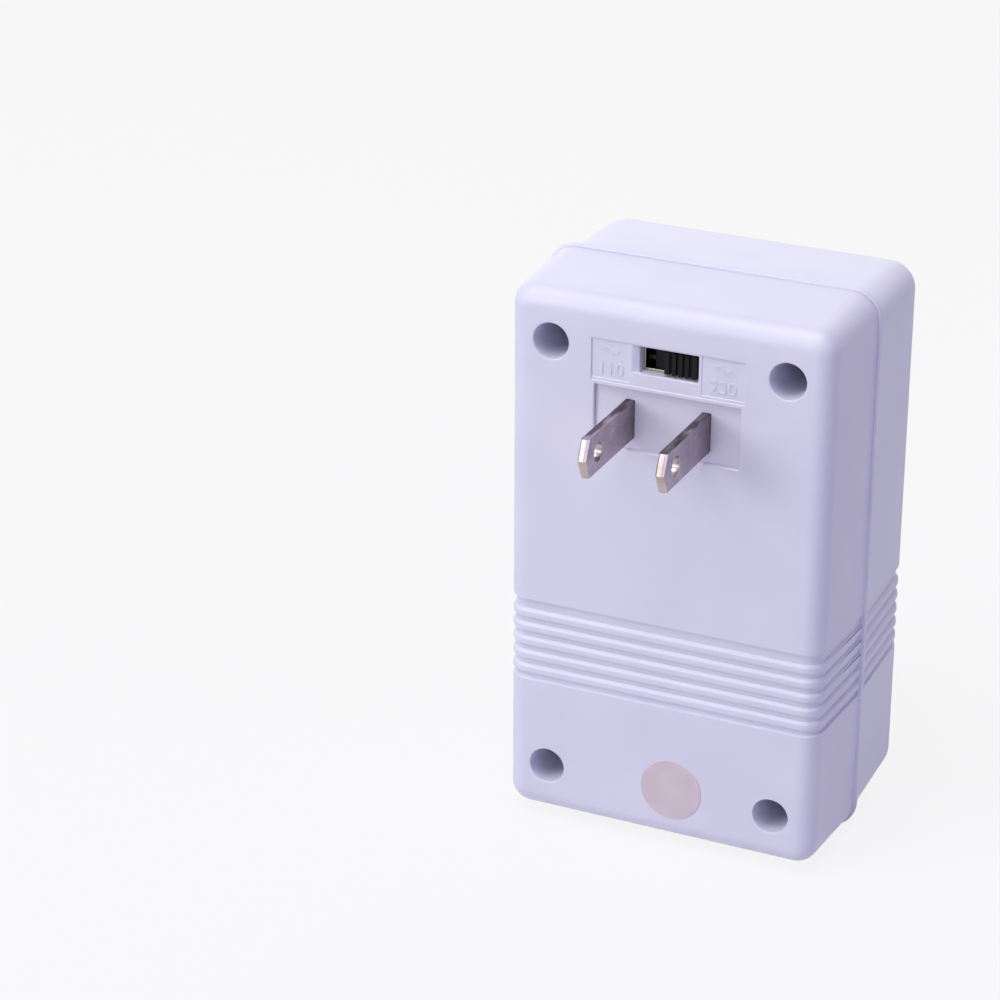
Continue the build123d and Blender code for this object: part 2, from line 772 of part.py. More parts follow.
def bobbin():
    """Moulded former: a square tube round the centre leg with three flanges."""
    inner_x = core_leg + bobbin_gap
    inner_y = core_stack / 2 + bobbin_gap
    z0 = window_low + bobbin_gap
    z1 = window_top - bobbin_gap
    tube = Rectangle(2 * (inner_x + bobbin_wall), 2 * (inner_y + bobbin_wall))
    flange = Rectangle(2 * (2 * core_leg - bobbin_gap), 2 * bobbin_flange_y)
    hole = Rectangle(2 * inner_x, 2 * inner_y)
    place = Plane.XY * Pos(0, y_core_mid)
    body = Pos(0, 0, z0) * extrude(place * tube, amount=z1 - z0)
    z_middle = (z0 + z1) / 2
    for z in (z0, z_middle - bobbin_flange / 2, z1 - bobbin_flange):
        body += Pos(0, 0, z) * extrude(place * flange, amount=bobbin_flange)
    return body - Pos(0, 0, z0) * extrude(place * hole, amount=z1 - z0)


def winding_span(level):
    """Lowest and highest point of the lower (0) or upper (1) winding."""
    z0 = window_low + bobbin_gap
    z1 = window_top - bobbin_gap
    z_middle = (z0 + z1) / 2
    if level == 0:
        return z0 + bobbin_flange + winding_gap, z_middle - bobbin_flange / 2 - winding_gap
    return z_middle + bobbin_flange / 2 + winding_gap, z1 - bobbin_flange - winding_gap


def winding(level):
    z0, z1 = winding_span(level)
    former = Rectangle(2 * (core_leg + bobbin_gap + bobbin_wall),
                       core_stack + 2 * (bobbin_gap + bobbin_wall))
    ring = coil_outline(0) - former
    return extrude(Plane.XY.offset(z0) * Pos(0, y_core_mid) * ring, amount=z1 - z0)


def winding_tape(level):
    """Tape turned over one winding."""
    z0, z1 = winding_span(level)
    ring = coil_outline(tape_thick) - coil_outline(0)
    return extrude(Plane.XY.offset(z0) * Pos(0, y_core_mid) * ring, amount=z1 - z0)


def thermal_fuse():
    x = 2 * core_leg + fuse_gap + fuse_r
    y = y_core_mid + core_stack / 2 + fuse_gap + fuse_r
    z_low = (window_low + window_top - fuse_long) / 2
    return extrude(Plane.XY.offset(z_low) * Pos(x, y) * RegularPolygon(fuse_r, hidden_sides), amount=fuse_long)


def lamp_lens():
    """Red lens: a short plug in the hole with a flange behind the wall."""
    return (rod(0, lamp_height, lamp_hole_r - lens_gap, y_front + lens_inset, y_front_inner)
            + post(0, lamp_height, lens_flange_r, y_front_inner, y_front_inner + lens_flange_thick))


def lamp_bulb():
    y0 = y_front_inner + lens_flange_thick + bulb_gap
    return rod(0, lamp_height, bulb_r, y0, y0 + bulb_long)


def lamp_resistor():
    x = bulb_r + resistor_r + fuse_gap
    y0 = y_front_inner + lens_flange_thick + bulb_gap + (bulb_long - resistor_long) / 2
    return post(x, lamp_height, resistor_r, y0, y0 + resistor_long)


def round_sticker():
    return rod(sticker_x, sticker_height, sticker_r, y_rear, y_rear + sticker_thick)


def write(name, shape):
    solids = shape.solids()
    out = solids[0] if len(solids) == 1 else Compound(children=list(solids))
    export_step(out, os.path.join("parts", name + ".step"))


os.makedirs("parts", exist_ok=True)
write("front_shell", front_shell())
write("rear_shell", rear_shell())
write("plug_plate", plug_plate())
for side, name in ((-1, "right"), (1, "left")):
    write("plug_blade_" + name, plug_blade(side))
    write("plug_plate_screw_" + name, plug_plate_screw(side))
    write("socket_contact_" + name, socket_contact(side))
    write("socket_screw_" + name, socket_screw(side))
for index, name in enumerate(("upper_right", "upper_left", "lower_right", "lower_left")):
    write("case_screw_" + name, case_screw(index))
write("switch_frame", switch_frame())
write("switch_body", switch_body())
write("switch_knob", switch_knob())
for row, name in ((-1, "lower"), (1, "upper")):
    write("switch_bridge_" + name, switch_bridge(row))
    for column, place in ((-1, "right"), (0, "middle"), (1, "left")):
        write("switch_terminal_" + name + "_" + place, terminal_bar(column, row))
write("socket_carrier", socket_carrier())
write("socket_retainer", socket_retainer())
write("earth_contact", earth_contact())
write("core_e", core_e())
write("core_i", core_i())
write("core_band", core_band())
write("bobbin", bobbin())
for level, name in ((0, "lower"), (1, "upper")):
    write("winding_" + name, winding(level))
    write("winding_tape_" + name, winding_tape(level))
write("thermal_fuse", thermal_fuse())
write("lamp_lens", lamp_lens())
write("lamp_bulb", lamp_bulb())
write("lamp_resistor", lamp_resistor())
write("round_sticker", round_sticker())
print("parts written:", len(os.listdir("parts")))
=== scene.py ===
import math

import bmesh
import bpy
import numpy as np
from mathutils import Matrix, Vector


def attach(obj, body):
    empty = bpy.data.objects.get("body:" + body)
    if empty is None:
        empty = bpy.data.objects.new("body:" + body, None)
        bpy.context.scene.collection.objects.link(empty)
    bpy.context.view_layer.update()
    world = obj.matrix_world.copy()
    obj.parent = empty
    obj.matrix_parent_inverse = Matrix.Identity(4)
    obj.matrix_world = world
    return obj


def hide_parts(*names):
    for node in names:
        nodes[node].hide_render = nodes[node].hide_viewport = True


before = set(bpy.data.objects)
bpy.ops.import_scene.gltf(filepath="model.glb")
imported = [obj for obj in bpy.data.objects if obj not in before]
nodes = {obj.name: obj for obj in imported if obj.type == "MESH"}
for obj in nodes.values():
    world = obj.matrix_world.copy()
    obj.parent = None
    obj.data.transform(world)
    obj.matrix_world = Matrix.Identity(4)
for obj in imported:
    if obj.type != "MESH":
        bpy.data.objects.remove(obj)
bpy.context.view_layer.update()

# %% [markdown]
# # A plug-in voltage transformer
# A small white case, moulded in two halves that meet at a lipped seam. Flat
# plug blades stand out of its rear face and a universal socket opens in its
# front face. The CAD model gives every size and place, in metres: it stands on
# its lower end, +Z up, with the socket towards -Y and the blades towards +Y.
# Blender adds what CAD leaves out: soft moulded edges, finishes and light.

MM = 0.001

# %% [markdown]
# ## The camera
# A product photograph is taken from far off with a long lens, which keeps
# upright edges nearly parallel. The camera's place comes from measuring where
# the case's corners, screw wells and blades fall in the picture, so it is set
# by a target point, two angles and a distance, and not by eye.

# %% Camera at the photograph's viewing angle
AIM = Vector((28.22, 11.3, 55.99)) * MM
AZIMUTH, ELEVATION, ROLL = 204.98, 24.242, 0.17
DISTANCE = 526.06 * MM
FOCAL_PIXELS = 3289.88
PICTURE_PIXELS = 1000
SENSOR_WIDTH = 36.0
NEAREST, FARTHEST = 0.01, 20.0

azimuth, elevation = math.radians(AZIMUTH), math.radians(ELEVATION)
towards_camera = Vector((math.sin(azimuth) * math.cos(elevation),
                         -math.cos(azimuth) * math.cos(elevation),
                         math.sin(elevation)))
camera = bpy.data.objects.new("camera", bpy.data.cameras.new("camera"))
bpy.context.scene.collection.objects.link(camera)
camera.data.sensor_width = SENSOR_WIDTH
camera.data.lens = FOCAL_PIXELS * SENSOR_WIDTH / PICTURE_PIXELS
camera.data.clip_start, camera.data.clip_end = NEAREST, FARTHEST
camera.location = AIM + towards_camera * DISTANCE
camera.rotation_mode = "QUATERNION"
turn = (-towards_camera).to_track_quat("-Z", "Y").to_matrix()
camera.rotation_quaternion = (turn @ Matrix.Rotation(math.radians(ROLL), 3, "Z")).to_quaternion()
bpy.context.scene.camera = camera
print("camera", [round(v, 4) for v in camera.location], "lens", round(camera.data.lens, 2))

# %% [markdown]
# ## Helpers for materials
# Colours are read off a swatch as sRGB hex, but shaders work in linear light,
# so one function turns them. One more function adds a node with its settings
# and links, which keeps each material short enough to read as a recipe.

# %% Colour and node helpers
def linear(hex_colour):
    """sRGB hex to linear RGBA: each channel c becomes c/12.92 where it is dark, and
    ((c + 0.055) / 1.055) to the power 2.4 elsewhere."""
    c = np.array([int(hex_colour[i:i + 2], 16) for i in (1, 3, 5)]) / 255.0
    out = np.where(c <= 0.04045, c / 12.92, ((c + 0.055) / 1.055) ** 2.4)
    return (*[float(v) for v in out], 1.0)


def link_inputs(node, links):
    """Links each (input, source socket) pair. An input is a name or a number."""
    for name, source in links:
        node.id_data.links.new(node.inputs[name], source)


def add_node(tree, kind, links=(), stops=(), **settings):
    """Adds a node of that kind to a tree. A setting that is a property of the node
    sets it, and any other sets the input of that name, where _ stands for a space.
    Stops are a colour ramp's (position, hex colour) pairs, in rising order."""
    node = tree.nodes.new(kind)
    for name, value in settings.items():
        if hasattr(node, name):
            setattr(node, name, value)
        else:
            node.inputs[name.replace("_", " ")].default_value = value
    for i, (position, colour) in enumerate(stops):
        ramp = node.color_ramp.elements
        stop = ramp[i] if i < len(ramp) else ramp.new(position)
        stop.position, stop.color = position, linear(colour)
    link_inputs(node, links)
    return node


def new_material(name, colour, roughness, metallic=0.0, ior=None):
    """A material with its Principled shader's constants set on the shader itself."""
    material = bpy.data.materials.new(name)
    material.use_nodes = True
    material.diffuse_color = linear(colour)
    shader = material.node_tree.nodes["Principled BSDF"]
    shader.inputs["Base Color"].default_value = linear(colour)
    shader.inputs["Roughness"].default_value = roughness
    shader.inputs["Metallic"].default_value = metallic
    if ior is not None:
        shader.inputs["IOR"].default_value = ior
    print("material", name, colour, "roughness", roughness)
    return material, shader


print("helpers ready")

# %% [markdown]
# ## White ABS
# The case is injection-moulded ABS. A steel mould finished by fine stoning
# leaves a satin skin: no grain to see, but enough micro-roughness to spread a
# highlight. Walls shrink a little as they cool, which shows as slow waves in
# that highlight. Two noises draw this: a fine one for the skin, and a wide one
# for the waves. The fine one is drawn at 0.25 mm, coarser than real, so that
# it shows.

# %% Moulded white ABS
CASE_WHITE = "#E2E0F2"
SKIN_GRAIN_MM = 0.25
SHRINK_WAVE_MM = 14.0
SKIN_DEPTH_MM = 0.004
WAVE_PER_SKIN_DEPTH = 6


def moulded_plastic(name, colour, shade, roughness, grain_mm, wave_mm, bump_mm, ior=1.54):
    """Satin moulded plastic. The colour drifts slightly between two shades over the
    wide noise, the roughness follows the fine noise, and both noises add to the bump,
    the wide one six times as deep as the fine one."""
    material, shader = new_material(name, colour, roughness, ior=ior)
    tree = material.node_tree
    place = add_node(tree, "ShaderNodeTexCoord").outputs["Object"]
    fine = add_node(tree, "ShaderNodeTexNoise", [("Vector", place)],
                    Scale=1.0 / (grain_mm * MM), Detail=2.0, Roughness=0.6)
    wide = add_node(tree, "ShaderNodeTexNoise", [("Vector", place)],
                    Scale=1.0 / (wave_mm * MM), Detail=1.0, Roughness=0.4)
    drift = add_node(tree, "ShaderNodeValToRGB", [("Fac", wide.outputs["Fac"])],
                     stops=[(0.35, shade), (0.65, colour)])
    spread = add_node(tree, "ShaderNodeMapRange", [("Value", fine.outputs["Fac"])],
                      To_Min=roughness - 0.04, To_Max=roughness + 0.05)
    waves = add_node(tree, "ShaderNodeBump", [("Height", wide.outputs["Fac"])],
                     Strength=0.35, Distance=WAVE_PER_SKIN_DEPTH * bump_mm * MM)
    skin = add_node(tree, "ShaderNodeBump",
                    [("Height", fine.outputs["Fac"]), ("Normal", waves.outputs["Normal"])],
                    Strength=0.5, Distance=bump_mm * MM)
    link_inputs(shader, [("Base Color", drift.outputs["Color"]),
                         ("Roughness", spread.outputs["Result"]),
                         ("Normal", skin.outputs["Normal"])])
    return material


# The case: a cool white, as ABS with a blue brightener looks.
abs_white = moulded_plastic("ABS_injection_moulded_white", CASE_WHITE, "#DFDDF0", 0.42,
                            SKIN_GRAIN_MM, SHRINK_WAVE_MM, SKIN_DEPTH_MM)
# The plug plate: another shot of the same plastic, a trace duller.
abs_plate = moulded_plastic("ABS_plug_plate_white", "#E1DFF1", "#DDDBEE", 0.42,
                            SKIN_GRAIN_MM, SHRINK_WAVE_MM, SKIN_DEPTH_MM)

# %% [markdown]
# ## Rolled and plated metals
# Metal strip comes off a rolling mill with fine lines along its length, and a
# thin plating follows them. The eye reads the lines as streaks in a highlight.
# One noise, drawn out along the rolling direction, gives the lines, and a
# second, wider one shifts the tint in patches, as handling and air do. A noise
# is chosen over ruled lines because real ones start and stop. They are drawn a
# tenth of a millimetre apart or more, coarser than real, so that they show.

# %% Metals
ALONG_THE_STRIP = 0.06
TINT_PATCH_MM = 3.0


def rolled_metal(name, colour, dark, roughness, line_mm, along, bump_mm=0.002):
    """Rolled and plated strip. The noise is drawn out along the rolling axis (0, 1 or
    2 for X, Y or Z), and sets fine lines in the roughness and the bump."""
    material, shader = new_material(name, colour, roughness, metallic=1.0)
    tree = material.node_tree
    place = add_node(tree, "ShaderNodeTexCoord").outputs["Object"]
    drawn_out = add_node(tree, "ShaderNodeMapping", [("Vector", place)],
                         Scale=[ALONG_THE_STRIP if axis == along else 1.0 for axis in range(3)])
    lines = add_node(tree, "ShaderNodeTexNoise", [("Vector", drawn_out.outputs["Vector"])],
                     Scale=1.0 / (line_mm * MM), Detail=3.0, Roughness=0.6)
    patches = add_node(tree, "ShaderNodeTexNoise", [("Vector", place)],
                       Scale=1.0 / (TINT_PATCH_MM * MM), Detail=2.0, Roughness=0.5)
    tint = add_node(tree, "ShaderNodeValToRGB", [("Fac", patches.outputs["Fac"])],
                    stops=[(0.3, dark), (0.7, colour)])
    spread = add_node(tree, "ShaderNodeMapRange", [("Value", lines.outputs["Fac"])],
                      To_Min=max(roughness - 0.08, 0.05), To_Max=roughness + 0.1)
    bump = add_node(tree, "ShaderNodeBump", [("Height", lines.outputs["Fac"])],
                    Strength=0.4, Distance=bump_mm * MM)
    link_inputs(shader, [("Base Color", tint.outputs["Color"]),
                         ("Roughness", spread.outputs["Result"]),
                         ("Normal", bump.outputs["Normal"])])
    return material


# Blades: bright nickel over brass, a warm grey with the lines running to the tip.
nickel_blade = rolled_metal("nickel_plated_brass_blade", "#C8C0C4", "#B0A7AC", 0.25, 0.12, 1)
# Switch frame: nickel over pressed steel, the brightest metal of the part.
nickel_frame = rolled_metal("nickel_plated_steel_pressed", "#DAD2C4", "#C9C0B4", 0.2, 0.15, 0)
# Screws: zinc over steel, a flat mid grey.
zinc_screw = rolled_metal("zinc_plated_steel_screw", "#A9A8A6", "#8E8D8C", 0.35, 0.2, 1)
# Socket contacts: bare bronze spring strip that the air has turned red-brown.
bronze_strip = rolled_metal("phosphor_bronze_strip_tarnished", "#A0603C", "#6A3020",
                            0.28, 0.2, 1)
# Switch terminals: dipped in tin, soft and pale.
tinned_brass = rolled_metal("tin_plated_brass_terminal", "#C9C4B8", "#B4AFA4", 0.35, 0.2, 1)
# Core band: zinc-plated strip bent round the core.
band_steel = rolled_metal("zinc_plated_steel_band", "#A5A6A8", "#8C8D90", 0.35, 0.3, 2)
# Thermal fuse: a drawn aluminium can, dull and light.
fuse_can = rolled_metal("aluminium_fuse_can", "#BDBBB6", "#A9A7A2", 0.4, 0.3, 2)

# %% [markdown]
# ## Painted dark edges, painted shade at the foot, and rubbed tips
# The faces of a blade that face up and down are painted dark, in streaks along them,
# as a painted dark reflection. Its foot, where it leaves the case, is painted darker
# as painted shade. Every trip into a socket rubs the tip, where the plating has rubbed
# through to warm brass. All follow the shape, so they are read from it: the dark faces
# by which way the surface faces, and the shade and the rubbed tip by how far along the
# blade a point lies.

# %% Painted dark edges, painted shade at the foot and rubbed tips of the blades
BLADE_FOOT_MM, BLADE_TIP_MM = 11.3, 29.5
STREAK_MM = 1.5
ALONG_THE_STREAK = 0.3


def painted_reflection_shade_and_wear(material):
    """Multiplies the blade's colour twice: by a dark grey, a painted dark reflection, on
    the faces that face up and down, in streaks along them, and by a gradient along the
    blade that goes from painted shade at the foot, where it leaves the case, to the tip,
    where the plating has rubbed through to warm brass."""
    tree = material.node_tree
    shader = tree.nodes["Principled BSDF"]
    plain = shader.inputs["Base Color"].links[0].from_socket
    place = add_node(tree, "ShaderNodeTexCoord").outputs
    # Painted dark reflection: the faces that face up and down are darkened, in streaks.
    facing = add_node(tree, "ShaderNodeSeparateXYZ", [("Vector", place["Normal"])])
    upright = add_node(tree, "ShaderNodeMath", [(0, facing.outputs["Z"])],
                       operation="ABSOLUTE")
    painted_reflection_mask = add_node(tree, "ShaderNodeMapRange", [("Value", upright.outputs[0])],
                       From_Min=0.4, From_Max=0.8)
    drawn_out = add_node(tree, "ShaderNodeMapping", [("Vector", place["Object"])],
                         Scale=(1.0, ALONG_THE_STREAK, 1.0))
    streaks = add_node(tree, "ShaderNodeTexNoise", [("Vector", drawn_out.outputs["Vector"])],
                       Scale=1.0 / (STREAK_MM * MM), Detail=1.0)
    painted_reflection_streaks = add_node(tree, "ShaderNodeValToRGB", [("Fac", streaks.outputs["Fac"])],
                    stops=[(0.42, "#8E868C"), (0.58, "#FFFAF5")])
    painted_reflection_darkened = add_node(tree, "ShaderNodeMix",
                      [(0, painted_reflection_mask.outputs["Result"]), (6, plain), (7, painted_reflection_streaks.outputs["Color"])],
                      data_type="RGBA", blend_type="MULTIPLY")
    spot = add_node(tree, "ShaderNodeSeparateXYZ", [("Vector", place["Object"])])
    along = add_node(tree, "ShaderNodeMapRange", [("Value", spot.outputs["Y"])],
                     From_Min=BLADE_FOOT_MM * MM, From_Max=BLADE_TIP_MM * MM)
    # Painted shade towards the foot, where the blade leaves the case, and warm brass at the rubbed
    # tip.
    painted_shade_and_wear_ramp = add_node(tree, "ShaderNodeValToRGB", [("Fac", along.outputs["Result"])],
                    stops=[(0.0, "#A9A1AA"), (0.4, "#F0EBF0"), (0.92, "#FBF7F7"), (1.0, "#FFF4E4")])
    painted_shade_and_worn = add_node(tree, "ShaderNodeMix", [(6, painted_reflection_darkened.outputs[2]), (7, painted_shade_and_wear_ramp.outputs["Color"])],
                    data_type="RGBA", blend_type="MULTIPLY", Factor=1.0)
    link_inputs(shader, [("Base Color", painted_shade_and_worn.outputs[2])])


painted_reflection_shade_and_wear(nickel_blade)
print("blades worn from", BLADE_FOOT_MM, "to", BLADE_TIP_MM, "mm")

# %% [markdown]
# ## Core and windings
# A transformer's core is a pile of thin steel sheets, varnished so that they
# don't touch, and a winding is one wire laid turn beside turn. Both look like
# fine bands. A wave texture draws one period to each sheet or turn, so the
# real thickness of a sheet or a wire sets its scale.

# %% Banded stacks
def banded(name, colour, dark, roughness, pitch_mm, axis, bump_mm):
    """Sheets in a stack, or turns of wire side by side. A wave along one axis, one
    period to each sheet or turn, darkens the gaps and sinks them in the bump. The
    texture has a period of pi / (10 * scale)."""
    material, shader = new_material(name, colour, roughness, metallic=1.0)
    tree = material.node_tree
    place = add_node(tree, "ShaderNodeTexCoord").outputs["Object"]
    wave = add_node(tree, "ShaderNodeTexWave", [("Vector", place)], bands_direction=axis,
                    Scale=math.pi / (10.0 * pitch_mm * MM), Distortion=0.4, Detail=1.0)
    gaps = add_node(tree, "ShaderNodeValToRGB", [("Fac", wave.outputs["Fac"])],
                    stops=[(0.05, dark), (0.45, colour)])
    bump = add_node(tree, "ShaderNodeBump", [("Height", wave.outputs["Fac"])],
                    Strength=0.6, Distance=bump_mm * MM)
    link_inputs(shader, [("Base Color", gaps.outputs["Color"]),
                         ("Normal", bump.outputs["Normal"])])
    return material


# Core: half-millimetre sheets, grey-brown under their varnish.
core_steel = banded("silicon_steel_laminations_varnished", "#6A6663", "#2E2B2A",
                    0.5, 0.5, "Y", 0.08)
# Windings: copper under a clear enamel, red-orange with dark gaps.
copper_wire = banded("enamelled_copper_wire", "#B0602F", "#5A2A14", 0.3, 0.35, "Z", 0.1)

# %% [markdown]
# ## The other plastics, paper and glass
# The same recipe of two noises serves whatever is moulded, drawn or pressed
# with a plain skin. Only the colour, the roughness and the size of the grain
# change. The lens and the bulb also let some light through.

# %% Dark and inner plastics
# The switch: black nylon, so matt that it gives back little of a white room.
nylon_black = moulded_plastic("nylon_moulded_black", "#0C0C10", "#07070A",
                              0.5, 0.2, 3.0, 0.006, 1.53)
nylon_black.node_tree.nodes["Principled BSDF"].inputs["Specular IOR Level"].default_value = 0.2
# The socket's block: pressed phenolic, grey-brown and slightly mottled.
phenolic = moulded_plastic("phenolic_moulded_grey_brown", "#A6969A", "#8F8084",
                           0.5, 0.3, 5.0, 0.01, 1.6)
# The bobbin: nylon without a dye, the colour of bone.
nylon_natural = moulded_plastic("nylon_moulded_natural", "#DDD8C6", "#D0CAB6",
                                0.5, 0.3, 6.0, 0.01, 1.53)
# Tape over the windings: glossy yellow film.
polyester_tape = moulded_plastic("polyester_tape_yellow", "#D8B84A", "#C9A63C",
                                 0.3, 0.4, 5.0, 0.006, 1.6)
# The resistor: a ceramic rod dipped in tan lacquer.
lacquered_ceramic = moulded_plastic("lacquered_ceramic_body", "#C2A77F", "#AD9168",
                                    0.35, 0.3, 2.0, 0.01, 1.6)
# The round sticker: uncoated paper, pinkish beside the cool white of the case.
sticker_paper = moulded_plastic("uncoated_paper_sticker", "#DBCDD5", "#D5C6CF",
                                0.75, 0.3, 4.0, 0.01, 1.5)

# %% Lens and bulb
# The lens: dyed polycarbonate, so dark that it hides the bulb while it is off.
lens_red = moulded_plastic("polycarbonate_moulded_tinted_red", "#8A101C", "#7A0E18",
                           0.15, 0.3, 2.0, 0.004, 1.58)
# The bulb: drawn soda glass, clear and a little wavy.
bulb_glass = moulded_plastic("soda_glass_drawn_bulb", "#E9D9C8", "#E2D0BC",
                             0.07, 0.5, 1.5, 0.003, 1.52)
for material, lets_through in ((lens_red, 0.2), (bulb_glass, 0.85)):
    shader = material.node_tree.nodes["Principled BSDF"]
    shader.inputs["Transmission Weight"].default_value = lets_through
    print(material.name, "lets", lets_through, "through")

# %% [markdown]
# ## Soft edges
# The CAD nodes arrive as loose triangles with knife edges. A moulded part has
# a small round on every edge, which catches light and tells the eye its size.
# Each visible node is therefore copied, its triangles are merged into whole
# faces, and a Bevel modifier rounds what is sharper than 25 degrees. A round
# wider than the face beside it would fold over, so every edge carries a weight
# that says how much of the full round fits there.
#
# The first step is to make the faces whole. A flat face with a hole in it is a
# ring, and a mesh can't hold a ring as one polygon, so it is cut in two through
# the middle of the hole.

# %% Cut flat faces through their holes
FLAT = math.radians(0.6)
AXES = ((1, 0, 0), (0, 0, 1), (0, 1, 0))


def flat_regions(bm):
    """Groups the triangles that lie in one plane: a triangle joins its neighbour's
    group when the edge between them bends by less than the limit."""
    taken = set()
    for first in bm.faces:
        if first in taken:
            continue
        taken.add(first)
        region = [first]
        for face in region:
            for edge in face.edges:
                if edge.calc_face_angle(1.0) < FLAT:
                    fresh = [f for f in edge.link_faces if f not in taken]
                    taken.update(fresh)
                    region += fresh
        yield region


def width_of(outline):
    """The diagonal of the box round an outline's corners."""
    return float(np.linalg.norm(np.ptp([corner.co for corner in outline], axis=0)))


def rims(region):
    """The closed outlines of a flat region, each a list of corners, widest first."""
    inside = set(region)
    beside = {}
    for edge in (e for face in region for e in face.edges):
        if sum(face in inside for face in edge.link_faces) == 1:
            for a, b in (edge.verts, reversed(edge.verts)):
                beside.setdefault(a, []).append(b)
    outlines = []
    while beside:
        outline = [next(iter(beside))]
        for corner in outline:
            outline += [v for v in beside.pop(corner) if v in beside and v not in outline]
        outlines.append(outline)
    return sorted(outlines, key=width_of, reverse=True)


def cut_rings(bm):
    """Cuts each flat region through the middle of every hole in it, across the axis
    that lies flattest in the region. The cuts are marked as seams, so that they stay
    when the triangles are merged."""
    cuts = 0
    for region in list(flat_regions(bm)):
        for hole in rims(region)[1:]:
            middle = sum((corner.co for corner in hole), Vector()) / len(hole)
            normal = region[0].normal
            across = min((Vector(a) for a in AXES), key=lambda a: round(abs(a.dot(normal)), 1))
            edges = dict.fromkeys(e for face in region for e in face.edges)
            corners = dict.fromkeys(v for face in region for v in face.verts)
            cut = bmesh.ops.bisect_plane(bm, geom=[*corners, *edges, *region], dist=1e-6,
                                         plane_co=middle, plane_no=across)
            region = [g for g in cut["geom"] if isinstance(g, bmesh.types.BMFace)]
            for part in cut["geom_cut"]:
                if isinstance(part, bmesh.types.BMEdge) and part.calc_face_angle(1.0) < FLAT:
                    part.seam = True
            cuts += 1
    return cuts


print("ring cutting ready, a bend under", round(math.degrees(FLAT), 2), "degrees is flat")

# %% [markdown]
# The second step is to find how wide each round may be. Two things limit it:
# the far side of a narrow face, and the place where two rounds run into each
# other at a corner. The first is measured and the second is worked out from
# the corner's angle, and where two rounds would meet, the wider one gives way.

# %% How much round fits on an edge
SHARP = math.radians(25.0)  # edges that bend by more get a round
LESS_THAN_HALF = 0.45  # share of a width that one of the two rounds beside it may take
AHEAD = 0.7  # cosine to the inward direction, over which a point lies ahead of an edge
TOUCHING = 1e-7  # metres, under which a corner lies on the edge's own line
SLACK = 1e-8  # metres by which two rounds may cross
EASED = 0.8  # what is left of a round when it gives way
MOST_PASSES = 40
SMALLEST_SINE = 0.02  # a corner straighter than this counts as this bent


def rooms(face):
    """How far a flat face reaches inward from each of its edges. Every edge looks from
    its ends and middle to the nearest point of the other edges, and from their
    corners back, and counts what lies ahead of it, not beside it. On a face of more
    than four corners none has more than the breadth, twice area over outline."""
    start = np.array([loop.vert.co for loop in face.loops])
    run = np.roll(start, -1, axis=0) - start
    length = np.linalg.norm(run, axis=1, keepdims=True)
    inward = np.cross(np.array(face.normal), run / length)
    breadth = 2.0 * face.calc_area() / face.calc_perimeter() if len(start) > 4 else np.inf
    nearest = np.full(len(start), breadth)
    for share in (0.0, 0.5, 1.0):
        spot = (start + share * run)[:, None]
        along = ((spot - start) * run).sum(2) / length[:, 0] ** 2
        gap = start + np.clip(along, 0.0, 1.0)[..., None] * run - spot
        far = np.linalg.norm(gap, axis=2)
        ahead = (gap * inward[:, None]).sum(2) > AHEAD * far
        nearest = np.minimum(nearest, np.where(ahead, far, np.inf).min(axis=1))
    back = start - start[:, None]
    along = (back * run[:, None]).sum(2) / length ** 2
    depth = (back * inward[:, None]).sum(2)
    ahead = (depth > TOUCHING) & (along > 0.0) & (along < 1.0)
    nearest = np.minimum(nearest, np.where(ahead, depth, np.inf).min(axis=1))
    return {loop.edge: room for loop, room in zip(face.loops, nearest)}


def corners_of(face):
    """For each corner of a face: the edge that arrives, the edge that leaves, and the
    cosine and sine of the angle inside the face between them."""
    for loop in face.loops:
        before = loop.link_loop_prev
        back = (before.vert.co - loop.vert.co).normalized()
        on = (loop.link_loop_next.vert.co - loop.vert.co).normalized()
        yield before.edge, loop.edge, on.dot(back), face.normal.dot(on.cross(back))


def ease_rounds(bm, share):
    """Where two rounds meet at a corner, their new edges cross (a + b * cos) / sin
    along the edge of round b, for a corner of that cosine and sine. The wider of the
    two is made smaller until no crossing lies beyond less than half of an edge."""
    length = {edge: edge.calc_length() for edge in bm.edges}
    corners = [c for face in bm.faces for c in corners_of(face) if share[c[0]] or share[c[1]]]
    crossed, passes = 1, 0
    while crossed and passes < MOST_PASSES:
        crossed, passes = 0, passes + 1
        for one, two, cosine, sine in corners:
            sine = math.copysign(max(abs(sine), SMALLEST_SINE), sine)
            for a, b in ((one, two), (two, one)):
                crossing = (share[a] + share[b] * cosine) / sine
                if crossing > LESS_THAN_HALF * length[b] + SLACK:
                    wider = a if share[a] > share[b] else b
                    share[wider] *= EASED
                    crossed += 1
    return passes


def weigh_edges(bm, full_round):
    """Writes the bevel weight of every edge: the share of the full round that it gets.
    A sharp edge may take less than half of the room on the narrower of its two
    faces, so that the round of the opposite edge fits too. Blunt edges stay."""
    weight = bm.edges.layers.float.new("bevel_weight_edge")
    share = {edge: 0.0 for edge in bm.edges}
    inside = {face: rooms(face) for face in bm.faces}
    for edge in bm.edges:
        if edge.calc_face_angle(0.0) > SHARP:
            room = min(inside[face][edge] for face in edge.link_faces)
            share[edge] = min(full_round, LESS_THAN_HALF * room)
    passes = ease_rounds(bm, share)
    for edge in bm.edges:
        edge[weight] = share[edge] / full_round
    widths = sorted(v / MM for v in share.values() if v)
    print("rounds eased", passes, "times, middle width", round(widths[len(widths) // 2], 3), "mm")


print("edge weights ready, a bend over", round(math.degrees(SHARP)), "degrees is rounded")

# %% [markdown]
# The last step puts it together. The shells get the widest rounds. The front
# shell's is the widest of all, because its lip shows as a soft bead all round
# the seam. Stamped metal and the small parts of the switch get crisper ones.

# %% Merge and round a copy of a CAD node
ROUND_SEGMENTS = 2
WELD = 2e-6  # metres, under which two loose corners are one


